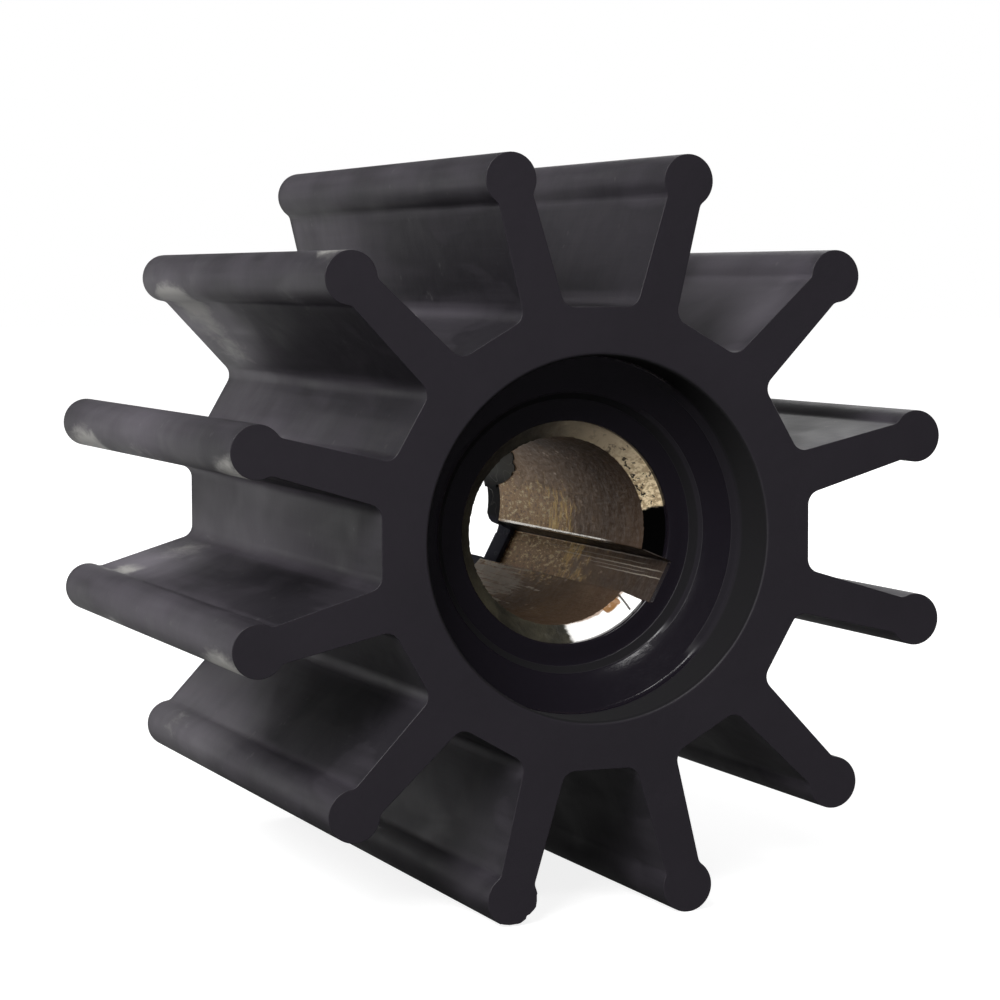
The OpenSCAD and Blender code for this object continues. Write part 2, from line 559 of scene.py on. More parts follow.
def blend(factor, a, b):
    # mixes two colours
    node = addNode(factor, "Mix")
    node.data_type = "RGBA"
    feed(node.inputs["Factor"], factor)
    for socket, value in ((node.inputs[6], a), (node.inputs[7], b)):
        feed(socket, value if isSocket(value) else (*value, 1))
    return node.outputs[2]


def mixValue(factor, a, b):
    node = addNode(factor, "Mix")
    for socket, value in ((node.inputs[0], factor), (node.inputs[2], a), (node.inputs[3], b)):
        feed(socket, value)
    return node.outputs[0]


def band(value, low, high, soft):
    # 1 between two values, with soft ends
    return times(ramp(value, low - soft, low + soft), ramp(value, high + soft, high - soft))


def stretch(vector, scale, move=(0, 0, 0)):
    node = addNode(vector, "Mapping")
    feed(node.inputs["Vector"], vector)
    node.inputs["Scale"].default_value = scale
    node.inputs["Location"].default_value = move
    return node.outputs["Vector"]


def noise(vector, scale, detail=2.0, roughness=0.5, distortion=0.0):
    node = addNode(vector, "TexNoise")
    for socket, value in (("Vector", vector), ("Scale", scale), ("Detail", detail), ("Roughness", roughness),
                          ("Distortion", distortion)):
        feed(node.inputs[socket], value)
    return node.outputs["Fac"]


def cells(vector, scale):
    node = addNode(vector, "TexVoronoi")
    feed(node.inputs["Vector"], vector)
    feed(node.inputs["Scale"], scale)
    return node.outputs["Distance"]


def splitUp(vector):
    node = addNode(vector, "SeparateXYZ")
    feed(node.inputs[0], vector)
    return node.outputs


def addBump(shader, height, strength, distance):
    bump = addNode(shader, "Bump")
    bump.inputs["Strength"].default_value = strength
    bump.inputs["Distance"].default_value = distance
    feed(bump.inputs["Height"], height)
    feed(shader.inputs["Normal"], bump.outputs["Normal"])


def newGroup(name, inputs, outputs):
    tree = bpy.data.node_groups.new(name, "ShaderNodeTree")
    for socket, kind in inputs:
        tree.interface.new_socket(name=socket, in_out="INPUT", socket_type="NodeSocket" + kind)
    for socket, kind in outputs:
        tree.interface.new_socket(name=socket, in_out="OUTPUT", socket_type="NodeSocket" + kind)
    return tree, tree.nodes.new("NodeGroupInput").outputs, tree.nodes.new("NodeGroupOutput").inputs


def useGroup(group, **inputs):
    node = addNode(next(iter(inputs.values())), "Group")
    node.node_tree = group
    for name, value in inputs.items():
        feed(node.inputs[name], value)
    return node.outputs


def emptyTree(owner, kind):
    owner.use_nodes = True
    tree = owner.node_tree
    tree.nodes.clear()
    return tree, tree.nodes.new("ShaderNodeOutput" + kind).inputs["Surface"]


def newMaterial(name):
    material = bpy.data.materials.new(name)
    tree, surface = emptyTree(material, "Material")
    shader = tree.nodes.new("ShaderNodeBsdfPrincipled")
    feed(surface, shader.outputs["BSDF"])
    coordinates = tree.nodes.new("ShaderNodeTexCoord")
    place = useGroup(whereOnPart, Object=coordinates.outputs["Object"])
    return material, shader, place


def makeWhereOnPart():
    # where a point lies on the impeller: a point in mm, its depth behind the front face, its radius, its
    # angle about the shaft, and how far it is from the keyway's middle plane
    numbers = [(name, "Float") for name in ("Depth", "Radius", "Angle", "Across")]
    tree, given, out = newGroup("whereOnPart", [("Object", "Vector")], [("Point", "Vector")] + numbers)
    scale = tree.nodes.new("ShaderNodeVectorMath")
    scale.operation = "SCALE"
    scale.inputs["Scale"].default_value = toMm
    feed(scale.inputs[0], given["Object"])
    x, y, z = splitUp(scale.outputs[0])
    feed(out["Point"], scale.outputs[0])
    feed(out["Depth"], minus(y, frontY * toMm))
    feed(out["Radius"], calc("SQRT", plus(times(x, x), times(z, z))))
    feed(out["Angle"], calc("DEGREES", calc("ARCTAN2", z, x)))
    feed(out["Across"], minus(times(z, cos(keyway["angle"])), times(x, sin(keyway["angle"]))))
    return tree


def spots(point, along, places):
    # the strongest of several fading spots, each given in mm as x, depth, z, reach, strength
    squeezed = stretch(point, (1, along, 1))
    strongest = 0.0
    for x, depth, z, reach, strength in places:
        away = addNode(point, "VectorMath")
        away.operation = "DISTANCE"
        feed(away.inputs[0], squeezed)
        away.inputs[1].default_value = (x, (depth + frontY * toMm) * along, z)
        spot = ramp(away.outputs["Value"], 0.0, reach, strength, 0.0, "LINEAR")
        strongest = calc("MAXIMUM", strongest, spot)
    return strongest


def makeSpecks():
    # small round spots, strewn where a broad noise lets them be
    tree, given, out = newGroup("specks", [("Point", "Vector"), ("Size", "Float"), ("Share", "Float")],
                                [("Mask", "Float")])
    scale = calc("DIVIDE", 1.0, given["Size"])
    inside = ramp(cells(given["Point"], scale), 0.34, 0.16)
    spread = noise(given["Point"], times(scale, 0.35), 1.0)
    allowed = ramp(plus(spread, given["Share"]), 0.94, 1.02)
    feed(out["Mask"], times(inside, allowed))
    return tree


def makeDrag():
    # fine lines drawn along the shaft, as moulds and reamers leave them
    inputs = [("Point", "Vector"), ("Fineness", "Float")]
    tree, given, out = newGroup("dragLines", inputs, [("Value", "Float")])
    feed(out["Value"], noise(stretch(given["Point"], (1, 0.04, 1)), given["Fineness"], 3.0, 0.6))
    return tree


whereOnPart = makeWhereOnPart()
specks = makeSpecks()
dragLines = makeDrag()


rubberLook = {
    "sideColour": (0.0135, 0.0118, 0.0154),
    "faceColour": (0.0165, 0.0140, 0.0186),
    "faceDark": (0.0, 0.0, 0.0),
    "recessColour": (0.0072, 0.0058, 0.0088),
    "paintedShadeColour": (0.0030, 0.0025, 0.0036),  # painted shade on the step's bevel and the recess's wall
    "bloomAndSheenColour": (0.094, 0.084, 0.101),
    "paintedLightColour": (0.330, 0.310, 0.345),
    "scuffAndReflectionColour": (0.46, 0.45, 0.42),
    "dustColour": (0.5, 0.5, 0.48),
    "farColour": (0.0360, 0.0380, 0.0430),      # back collar
    "farLight": (0.3000, 0.3200, 0.3100),       # the film beside it, where it catches the light
    "farBlue": (0.0900, 0.0960, 0.1400),        # keyway in the collar
    "glintColour": (0.70, 0.72, 0.70),          # painted glints in thin lines on the film
    "sideRough": (0.44, 0.56),
    "faceRough": 0.46,
    "recessRough": 0.20,
    "dullRough": 1.0,
    "farRough": 0.85,
    "specular": 0.34,
    "skin": (0.22, 0.00012),                    # how strong its bumps are and how high
    # masks: where they are 0 and where they are 1, or the values at two numbers; in mm of depth behind the
    # front face, mm of radius, or degrees about the shaft
    "frontFace": (0.09, 0.02),
    "backFace": (0.10, 0.02),                   # from the back face
    "rim": (0.40, 0.28),                        # past the recess's radius
    "mouth": (0.02, 0.12),
    "bevelInset": (0.06, 0.10, 0.04),           # from its inner and outer edge, and how soft
    "wallR": (14.35, 14.45),
    "wallDepth": (4.7, 4.3),
    "lip": (11.55, 12.15, 0.05),
    "dullFrom": (-48.0, -38.0),
    "dullTo": (60.0, 50.0),
    "frontHalf": (22.0, 20.0),
    "backHalf": (20.0, 22.0),
    "farR": (10.4, 10.2),
    "farEnd": (46.15, 45.95),
    "webR": (20.0, 21.5),
    "beadR": (27.6, 28.6),
    "rootR": (19.45, 20.5, 0.25),
    "lightFrom": (8.0, 24.0),
    "blueTo": (-9.0, -14.0),
    "glintFrom": (-2.0, 8.0, 0.15, 0.7),
    # grey bloom with painted sheen, heavier towards the back, and a painted highlight on the fillets at the
    # blades' roots
    "flatBloomAndSheen": (4.0, 50.0, 0.0, 0.46),
    "webBloomAndSheen": (24.0, 50.0, 0.0, 0.58),
    "beadBloomAndSheen": (0.0, 50.0, 0.14, 0.32),
    "rootHighlight": (2.0, 14.0, 0.1, 0.30),
    "backBloomAndSheen": (0.3, 1.6, 0.15, 1.0),         # from the back face
    "broadBloom": (0.3, 0.7, 0.5, 1.45),        # by the noises below
    "patchBloom": (0.46, 0.62, -0.05, 0.08),
    "dragBloom": (0.3, 0.7, -0.04, 0.05),
    "paintedLightSpread": (0.3, 0.7, 0.7, 1.2),
    "faceShade": (0.3, 0.7, 0.0, 0.10),
    # noises: scale per mm, detail, roughness, distortion
    "broad": (0.085, 3.0, 0.55),
    "patches": (1.0, 2.0, 0.45, 0.6),
    "fine": (6.0, 2.0, 0.6),
    "scuffAndReflectionNoise": (0.8, 5.0, 0.65, 0.6),
    "glintNoise": (0.55, 1.0, 0.5),
    "waves": (0.35, 2.0),
    # pale rubbed places and painted reflections of the floor, in mm: x, depth, z, how far they reach, how
    # strong they are
    "drawnOut": 0.45,                           # reach across as a share of reach along
    "scuffsAndReflections": [
        (-31.0, 48.0, 4.2, 4.4, 2.0), (-31.3, 28.0, 4.4, 4.0, 0.7),      # under bead K
        (-31.2, 1.5, 4.4, 3.8, 1.6),
        (-23.2, 47.0, 17.6, 4.0, 2.6), (-23.4, 12.0, 17.8, 3.9, 0.6),    # under bead L
        (-22.0, 3.0, 24.5, 3.0, 0.8),
        (-20.0, 47.5, 17.0, 3.5, 0.8), (-17.5, 47.5, 14.8, 3.5, 0.7),    # web L
        (-27.5, 48.0, -5.2, 2.2, 1.0), (-21.8, 48.0, -4.0, 4.5, 0.5),    # top of bead J and web J
        (-31.4, 4.0, -11.4, 4.3, 1.7), (-31.2, 41.0, -11.8, 3.8, 1.0),   # under bead J
        (-23.5, 46.0, -19.5, 3.5, 0.4),                                  # bead I
    ],
    # where the bloom lies thicker, with painted light
    "bloomAndLightSpots": [
        (16.6, 8.0, 19.0, 7.0, 0.55), (16.0, 14.5, 18.4, 7.0, 0.95),     # web C
        (4.6, 14.0, 23.5, 8.0, 0.15),                                    # web B
        (-25.0, 49.0, -4.5, 6.5, 0.6), (-21.0, 48.0, -3.5, 6.5, 0.6),    # web J
        (-20.0, 49.0, -14.0, 6.5, 0.7), (-17.0, 44.0, -12.0, 6.0, 0.4),  # web I
        (-30.5, 30.0, 8.5, 11.0, 0.50),                                  # bead K
        (-31.0, 24.0, -8.0, 10.0, 0.35),                                 # bead J
        (-21.5, 46.0, 16.5, 8.0, 0.7),                                   # web L
    ],
    "drawnOutFlat": 0.3,
    "flatBloomAndLightSpots": [(-19.0, 32.0, 0.0, 9.5, 1.0)],                         # flat between K and J
    # and where light is painted on, nearly white
    "paintedLightSpots": [
        (-18.5, 46.0, -15.5, 10.5, 0.60), (-24.0, 49.0, -4.5, 7.0, 0.36), (-20.5, 50.0, 16.0, 7.5, 0.62),
        (-11.0, 18.0, -22.5, 8.0, 0.22), (-31.0, 10.0, -10.5, 6.0, 0.10), (-19.0, 34.0, 0.5, 8.0, 0.24),
        (15.8, 16.5, 18.2, 8.0, 0.30),
    ],
}


def rubberMaterial():
    # blades are lettered from the one at 105 degrees, A, downwards on the right and up again on the left
    look = rubberLook
    material, shader, place = newMaterial("mouldedRubber")
    point, depth, radius, angle = place[:4]
    behind = minus((backY - frontY) * toMm, depth)        # depth from the back face
    recessR, stepR, stepInnerR = [rubber[name] * toMm for name in ("recessR", "stepR", "stepInnerR")]
    # where things are: end faces, hollow middle, the step's bevel, the recess's wall, what is dull there, the
    # collar and film far down the bore, webs and tip beads
    endFace = plus(ramp(depth, *look["frontFace"]), ramp(behind, *look["backFace"]))
    hollow = times(ramp(minus(radius, recessR), *look["rim"]), ramp(depth, *look["mouth"]))
    inner, outer, soft = look["bevelInset"]
    bevel = times(band(radius, stepInnerR + inner, stepR - outer, soft), hollow)
    outside = ramp(radius, *look["wallR"])
    wall = times(outside, hollow, ramp(depth, *look["wallDepth"]))
    dull = times(ramp(angle, *look["dullFrom"]), ramp(angle, *look["dullTo"]))
    edges = calc("ADD", outside, band(radius, *look["lip"]), clamp=True)
    dull = times(dull, edges, ramp(depth, *look["frontHalf"]))
    dull = calc("MAXIMUM", dull, wall)
    far = times(ramp(radius, *look["farR"]), ramp(depth, *look["backHalf"]))
    far = times(far, ramp(depth, *look["farEnd"]))
    web = ramp(radius, *look["webR"])
    bead = ramp(radius, *look["beadR"])
    # what varies over it
    broad = noise(point, *look["broad"])
    patches = noise(stretch(point, (0.22, 0.10, 0.22), (3.1, 0.7, 1.9)), *look["patches"])
    drag = useGroup(dragLines, Point=point, Fineness=1.1)["Value"]
    # grey bloom with painted sheen
    onFlat = ramp(depth, *look["flatBloomAndSheen"], "LINEAR")
    onWeb = ramp(depth, *look["webBloomAndSheen"])
    onBead = ramp(depth, *look["beadBloomAndSheen"], "LINEAR")
    bloomAndSheen = mixValue(web, onFlat, mixValue(bead, onWeb, onBead))
    bloomAndSheen = times(bloomAndSheen, ramp(broad, *look["broadBloom"]))
    bloomAndSheen = plus(bloomAndSheen, ramp(patches, *look["patchBloom"]))
    bloomAndSheen = calc("ADD", bloomAndSheen, ramp(drag, *look["dragBloom"]), clamp=True)
    bloomAndSheen = times(bloomAndSheen, ramp(behind, *look["backBloomAndSheen"]))
    # painted light: spots of thicker bloom that lighten webs and beads, mostly where blades shade them
    bloomAndSheen = plus(bloomAndSheen, spots(point, look["drawnOut"], look["bloomAndLightSpots"]))
    # painted highlight: a light band along the fillets at the blades' roots
    root = times(band(radius, *look["rootR"]), ramp(depth, *look["rootHighlight"]))
    flatBloomAndSheen = times(spots(point, look["drawnOutFlat"], look["flatBloomAndLightSpots"]), minus(1.0, web))
    bloomAndSheen = calc("ADD", plus(bloomAndSheen, root), flatBloomAndSheen, clamp=True)
    # the sides' grey is part real bloom, part painted sheen that grows towards the back
    side = blend(bloomAndSheen, look["sideColour"], look["bloomAndSheenColour"])
    # painted light: near-white patches on sides that lie in the blades' shadow
    paintedLight = times(spots(point, look["drawnOut"], look["paintedLightSpots"]), ramp(broad, *look["paintedLightSpread"]))
    side = blend(paintedLight, side, look["paintedLightColour"])
    # pale scuffs and painted floor reflections, broken up by a noise, and dust specks
    scuffAndReflectionNoise = noise(stretch(point, (1.0, 0.35, 1.0)), *look["scuffAndReflectionNoise"])
    scuffAndReflection = times(spots(point, look["drawnOut"], look["scuffsAndReflections"]), 1.5)
    scuffAndReflection = plus(scuffAndReflection, times(minus(scuffAndReflectionNoise, 0.5), 1.6))
    side = blend(ramp(scuffAndReflection, 0.30, 1.25, 0.0, 0.72), side, look["scuffAndReflectionColour"])
    dust = useGroup(specks, Point=point, Size=0.9, Share=0.30)["Mask"]
    side = blend(times(dust, 0.06), side, look["dustColour"])
    # end faces and recess
    face = blend(ramp(broad, *look["faceShade"]), look["faceColour"], look["faceDark"])
    colour = blend(endFace, side, face)
    colour = blend(hollow, colour, look["recessColour"])
    # painted shade: the step's bevel and the recess's wall are darkened
    colour = blend(calc("MAXIMUM", bevel, wall), colour, look["paintedShadeColour"])
    # collar and film far down the bore
    slate = blend(ramp(angle, *look["lightFrom"]), look["farColour"], look["farLight"])
    slate = blend(ramp(angle, *look["blueTo"]), slate, look["farBlue"])
    # painted glints: thin bright lines on the film
    glint = noise(stretch(point, (1.0, 0.6, 1.0), (2.0, 4.0, 1.0)), *look["glintNoise"])
    glint = ramp(calc("ABSOLUTE", minus(glint, 0.5)), 0.0, 0.015, 0.8, 0.0)
    glint = times(glint, ramp(angle, *look["glintFrom"]))
    slate = blend(glint, slate, look["glintColour"])
    feed(shader.inputs["Base Color"], blend(far, colour, slate))
    rough = ramp(patches, 0.35, 0.65, *look["sideRough"], "LINEAR")
    rough = mixValue(endFace, rough, look["faceRough"])
    rough = mixValue(hollow, rough, mixValue(dull, look["recessRough"], look["dullRough"]))
    rough = mixValue(bevel, rough, look["dullRough"])
    rough = mixValue(far, rough, look["farRough"])
    feed(shader.inputs["Roughness"], rough)
    shader.inputs["Specular IOR Level"].default_value = look["specular"]
    # skin: fine grain, drawn lines and a slow waviness
    grain = times(noise(point, *look["fine"]), 0.25)
    height = plus(grain, times(drag, 0.8), times(noise(point, *look["waves"]), 1.6))
    addBump(shader, height, *look["skin"])
    return material


brassLook = {
    "boreColour": (0.500, 0.330, 0.190),
    "frontShadeColour": (0.112, 0.068, 0.041),      # painted shade towards the front
    "topShadeColour": (0.085, 0.060, 0.043),
    "speckGlintColour": (0.85, 0.68, 0.52),
    "gritBase": (0.460, 0.290, 0.145),
    "gritDark": (0.110, 0.055, 0.025),
    "gritBright": (1.00, 0.86, 0.58),
    "goldWearAndReflectionColour": (0.88, 0.63, 0.24),
    "creamColour": (1.00, 0.92, 0.77),
    "keyEnd": (0.055, 0.038, 0.029),          # front end of the keyway's floor
    "keyWallShadeColour": (0.022, 0.016, 0.012),      # painted shade on the keyway's side walls
    "edgeHighlightColour": (1.0, 0.96, 0.88),          # painted highlight on its worn upper edge
    "tarnishColour": (0.016, 0.015, 0.011),   # lead-in
    "olive": (0.058, 0.052, 0.034),
    "leadReflectionColour": (0.76, 0.62, 0.40),
    "leadShade": (0.34, 0.25, 0.14),
    "leadReflectionDim": (0.40, 0.32, 0.215),          # painted reflection, dimmer on its upper half
    "gapColour": (0.003, 0.003, 0.003),
    "polishedHighlightColour": (1.0, 0.99, 0.96),
    "stainColour": (0.22, 0.10, 0.025),
    "pitColour": (0.018, 0.012, 0.008),
    "skin": (0.35, 0.0002),                   # how strong its bumps are and how high
    # how far edges of patches stray, in degrees and mm: a little, much, and on the lead-in
    "looseAngle": 22.0,
    "looseDepth": (16.0, 6.0),                # by the broad and by the coarse noise
    "ragAngle": 75.0,
    "ragDepth": 12.0,
    "leadAngle": 9.0,
    # noises: scale per mm, detail, roughness, distortion
    "broad": (0.16, 4.0, 0.6, 0.5),
    "coarse": (0.8, 3.0, 0.6),
    "grit": (1.0, 3.0, 0.65),
    "runs": (1.0, 3.0, 0.6),
    "pits": (1.9, 4.0, 0.62, 0.6),
    # masks as in the rubber; those of three numbers lie between the first two and end in their softness
    "keyR": (8.06, 8.16),
    "keyAngles": (-62.0, 5.0, 2.0),
    "highlightAngles": (-14.2, -11.6, 0.2),
    "highlightDepths": (17.0, 41.0, 2.0),
    "highlightR": (8.26, 8.20),
    "frontShadeDepth": (42.0, 10.0),
    "topShadeAngle": (40.0, 62.0),
    "topShadeDepth": (32.0, 24.0),
    "speckGlintDepth": (14.0, 24.0, 0.0, 0.6),
    "wornAngles": (-44.0, 15.0, 5.0),
    "wornDepth": (22.0, 28.0),
    "goldAngles": (-36.0, 12.0, 6.0),
    "goldDepths": (25.0, 31.0, 2.0),
    "streakAngles": (-78.0, -40.0, 6.0),
    "streakDepth": (18.0, 36.0),
    "keyEndDepth": (9.0, 20.0, 0.9, 0.0),
    "paleFrom": (11.0, 12.5),
    "paleTo": (112.0, 48.0),
    "leadReflectionDimFrom": (22.0, 62.0),
    "pitR": (8.0, 9.4, 0.05, -0.03),
    "pitAngle": (40.0, 75.0, 1.0, 0.25),
    "gapAngles": (-18.0, 11.5, 1.2),
    "polishedHighlightAngles": (-84.5, -37.0, 1.6),
    "fringeR": (8.05, 8.22, 0.8, 0.0),
    "stainAngles": (-59.0, -47.0, 2.0),
    "stainR": (8.9, 8.15),
    "hairline": (45.4, 8.2, 2.4),             # degrees below +X, the radius there, degrees per mm
    "hairlineEnd": (9.3, 9.2),
    # light lines on the keyway's floor: across it, from one depth to another, half as wide, how strong
    "scratches": [
        (1.88, 12.0, 27.0, 0.03, 0.35), (1.35, 12.0, 34.0, 0.02, 0.30), (0.95, 9.0, 30.0, 0.03, 0.50),
        (0.62, 12.0, 24.0, 0.02, 0.40), (0.30, 7.9, 21.0, 0.03, 0.45),
    ],
}


def brassMaterial():
    look = brassLook
    material, shader, place = newMaterial("tarnishedBrass")
    point, depth, radius, angle, across = place
    leadEnd = (brassFrontY - frontY + brass["leadIn"]) * toMm
    half = keyway["width"] / 2 * toMm
    broad = noise(point, *look["broad"])
    coarse = noise(point, *look["coarse"])
    grit = noise(stretch(point, (3.2, 1.15, 3.2)), *look["grit"])
    runs = noise(stretch(point, (0.5, 1.7, 0.5), (7.0, 0.0, 3.0)), *look["runs"])
    lines = useGroup(dragLines, Point=point, Fineness=3.4)["Value"]
    # angles and depths that stray, so that no patch ends in a straight line
    stray = minus(coarse, 0.5)
    byBroad, byCoarse = look["looseDepth"]
    looseDepth = plus(depth, times(minus(broad, 0.5), byBroad), times(stray, byCoarse))
    ragDepth = plus(looseDepth, times(stray, look["ragDepth"]))
    looseAngle, ragAngle, leadAngle = [plus(angle, times(stray, look[name]))
                                       for name in ("looseAngle", "ragAngle", "leadAngle")]
    # where things are: keyway, its side walls, its upper edge, the lead-in
    off = calc("ABSOLUTE", across)
    inKey = times(ramp(off, half + 0.06, half + 0.02), ramp(radius, *look["keyR"]))
    inKey = times(inKey, band(angle, *look["keyAngles"]))
    onWall = times(inKey, ramp(off, half - 0.14, half - 0.05))
    onEdge = times(band(angle, *look["highlightAngles"]), band(depth, *look["highlightDepths"]))
    onEdge = times(onEdge, ramp(radius, *look["highlightR"]))
    onLead = times(ramp(depth, leadEnd + 0.06, leadEnd - 0.04), minus(1.0, inKey))
    # bore: brown skin, with painted shade near the front and at the top
    bore = blend(ramp(looseDepth, *look["frontShadeDepth"]), look["boreColour"], look["frontShadeColour"])
    # painted shade on the upper part of the bore
    topShade = times(ramp(looseAngle, *look["topShadeAngle"]), ramp(looseDepth, *look["topShadeDepth"]), 0.8)
    bore = blend(topShade, bore, look["topShadeColour"])
    # pale specks: painted glints in the bore
    speckGlint = useGroup(specks, Point=stretch(point, (1, 0.5, 1)), Size=0.55, Share=0.36)["Mask"]
    bore = blend(times(speckGlint, ramp(looseDepth, *look["speckGlintDepth"])), bore, look["speckGlintColour"])
    # gritty and golden where it is worn; the golden patch is also a painted reflection of the bright back
    # opening
    worn = times(band(ragAngle, *look["wornAngles"]), ramp(ragDepth, *look["wornDepth"]))
    gritty = blend(ramp(grit, 0.54, 0.60), look["gritBase"], look["gritBright"])
    gritty = blend(ramp(grit, 0.36, 0.44, 0.9, 0.0), gritty, look["gritDark"])
    bore = blend(times(worn, 0.9), bore, gritty)
    goldenWearAndReflection = times(band(ragDepth, *look["goldDepths"]), band(ragAngle, *look["goldAngles"]))
    bore = blend(times(goldenWearAndReflection, ramp(runs, 0.46, 0.60, 0.0, 0.85)), bore, look["goldWearAndReflectionColour"])
    # cream streaks low down
    low = times(band(looseAngle, *look["streakAngles"]), ramp(looseDepth, *look["streakDepth"]))
    streaks = ramp(plus(times(low, 0.38), lines), 0.74, 0.84)
    bore = blend(times(streaks, ramp(low, 0.0, 0.3)), bore, look["creamColour"])
    # keyway: painted shade on its walls, light lines along the floor, a painted highlight on its upper edge
    bore = blend(times(inKey, ramp(looseDepth, *look["keyEndDepth"])), bore, look["keyEnd"])
    bore = blend(onWall, bore, look["keyWallShadeColour"])
    for at, fromDepth, toDepth, wide, strength in look["scratches"]:
        off = calc("ABSOLUTE", minus(across, plus(at, times(stray, 0.14))))
        scratch = times(ramp(off, wide, wide * 2.2, strength, 0.0), band(depth, fromDepth, toDepth, 2.0))
        bore = blend(times(scratch, inKey), bore, look["creamColour"])
    # painted highlight along the keyway's upper edge
    bore = blend(onEdge, bore, look["edgeHighlightColour"])
    # lead-in: olive tarnish, a pale pitted arc with a painted reflection, a polished arc with a painted
    # highlight and a dark gap between them
    lead = blend(ramp(broad, 0.40, 0.70), look["tarnishColour"], look["olive"])
    paleReflection = times(ramp(leadAngle, *look["paleFrom"]), ramp(looseAngle, *look["paleTo"]))
    tone = blend(ramp(grit, 0.42, 0.60), look["leadReflectionColour"], look["leadShade"])
    tone = blend(ramp(looseAngle, *look["leadReflectionDimFrom"]), tone, look["leadReflectionDim"])
    # painted reflection: the pale arc's cream
    lead = blend(paleReflection, lead, tone)
    pits = plus(noise(point, *look["pits"]), ramp(radius, *look["pitR"], "LINEAR"))
    pitted = times(ramp(pits, 0.585, 0.625), ramp(angle, *look["pitAngle"]), paleReflection)
    lead = blend(pitted, lead, look["pitColour"])
    gap = band(leadAngle, *look["gapAngles"])
    lead = blend(gap, lead, look["gapColour"])
    # painted highlight: the polished arc is near white
    polishedHighlight = band(leadAngle, *look["polishedHighlightAngles"])
    lead = blend(polishedHighlight, lead, look["polishedHighlightColour"])
    # brown stains on the polished arc, and a dark hair across it
    fringe = ramp(plus(radius, times(stray, 0.5)), *look["fringeR"])
    lead = blend(times(polishedHighlight, fringe), lead, look["stainColour"])
    stain = times(band(angle, *look["stainAngles"]), ramp(radius, *look["stainR"]), plus(coarse, 0.5))
    lead = blend(ramp(stain, 0.50, 0.75), lead, look["stainColour"])
    below, atR, slant = look["hairline"]
    off = calc("ABSOLUTE", plus(angle, times(minus(radius, atR), slant), below))
    hairline = times(ramp(off, 0.9, 0.4), ramp(radius, *look["hairlineEnd"]))
    lead = blend(hairline, lead, look["pitColour"])
    feed(shader.inputs["Base Color"], blend(onLead, bore, lead))
    metal = mixValue(worn, 0.55, 0.80)
    metal = mixValue(times(streaks, low), metal, 0.0)
    metal = mixValue(onEdge, metal, 0.95)
    # a black metal mirrors nothing, which is how the gap looks
    feed(shader.inputs["Metallic"], mixValue(onLead, metal, mixValue(gap, 0.04, 1.0)))
    rough = ramp(grit, 0.3, 0.7, 0.38, 0.60, "LINEAR")
    rough = mixValue(onEdge, rough, 0.15)
    rough = mixValue(times(polishedHighlight, onLead), rough, 0.30)
    inGap = times(gap, onLead)
    feed(shader.inputs["Roughness"], mixValue(inGap, rough, 0.95))
    height = plus(times(coarse, 2.0), times(lines, 0.35), times(grit, mixValue(worn, 0.2, 0.7)))
    height = minus(height, times(pitted, 1.2))
    addBump(shader, mixValue(inGap, height, 1.0), *look["skin"])
    return material


def finishPiece(o, material, node):
    o.data.materials.clear()
    o.data.materials.append(material)
    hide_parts(node)
    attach(o, "root")


finishPiece(moulding, rubberMaterial(), "rubber_body")
finishPiece(bush, brassMaterial(), "bush")
print("materials on")


# Floor, light and camera

studio = {
    "cameraAzimuth": radians(-21.615),
    "cameraElevation": radians(4.214),
    "cameraRoll": radians(-0.156),
    "cameraDistance": 0.272669,
    "cameraSide": 0.001961,     # the aim's offset from the origin, across and up
    "cameraUp": 0.001364,
    "lens": 108.678,
    "floorSize": 6.0,
    "roomLight": 0.22,          # what the room sheds on matt surfaces
    "roomFront": 0.05,          # what is mirrored of it on the camera's side
    "roomBack": 0.66,           # and behind the object
    "roomRight": 0.35,          # share of that which is left on its right
    "roomTop": 0.18,            # and overhead
    # where those change over, as a direction's Y from front to back, its X to the right and its Z upwards
    "roomTurn": (-0.15, 0.55),
    "roomAside": (0.12, 0.35),
    "roomUp": (0.02, 0.25),
    # square lamps that face the origin: place, size, and what their surface shows, 1 being white
    "softboxes": {
        "keyLeft": ((-0.354, -0.324, 0.354), 0.35, 13.0),
        "backRight": ((0.35, 0.45, 0.35), 0.40, 1.8),
        "fillRight": ((0.62, 0.32, 0.16), 0.50, 2.2),
        "keyFront": ((-0.04, -0.56, 0.57), 0.12, 18.0),
    },
    "boreLight": 4.0,           # watts
    "boreSpread": radians(2.0),
    "boreLightSize": 0.05,
    "boreLightAt": (-0.12, 0.56, 0.18),
    "floorGrey": 0.40,
    "floorFront": 0.06,         # what is mirrored of the floor on the camera's side
    "floorBack": 0.58,          # and behind the object
    "floorTurn": (-0.02, 0.12), # where that changes over, along Y
    "glowNear": 0.85,           # the floor's own white as the camera sees it, beside the object
    "glowFar": 1.0,
    "glowReach": (0.10, 0.35),  # where that changes over, from the origin
}


def addObject(name, data):
    o = bpy.data.objects.new(name, data)
    bpy.context.scene.collection.objects.link(o)
    return o


def placeCamera():
    a, e, roll = studio["cameraAzimuth"], studio["cameraElevation"], studio["cameraRoll"]
    back = Vector((sin(a) * cos(e), -cos(a) * cos(e), sin(e)))
    right = Vector((cos(a), sin(a), 0))
    up = back.cross(right)
    right, up = right * cos(roll) + up * sin(roll), up * cos(roll) - right * sin(roll)
    data = bpy.data.cameras.new("camera")
    data.lens = studio["lens"]
    data.clip_start = 0.01
    camera = addObject("camera", data)
    camera.matrix_world = Matrix((right, up, back)).transposed().to_4x4()
    camera.location = back * studio["cameraDistance"] + right * studio["cameraSide"] + up * studio["cameraUp"]
    bpy.context.scene.camera = camera


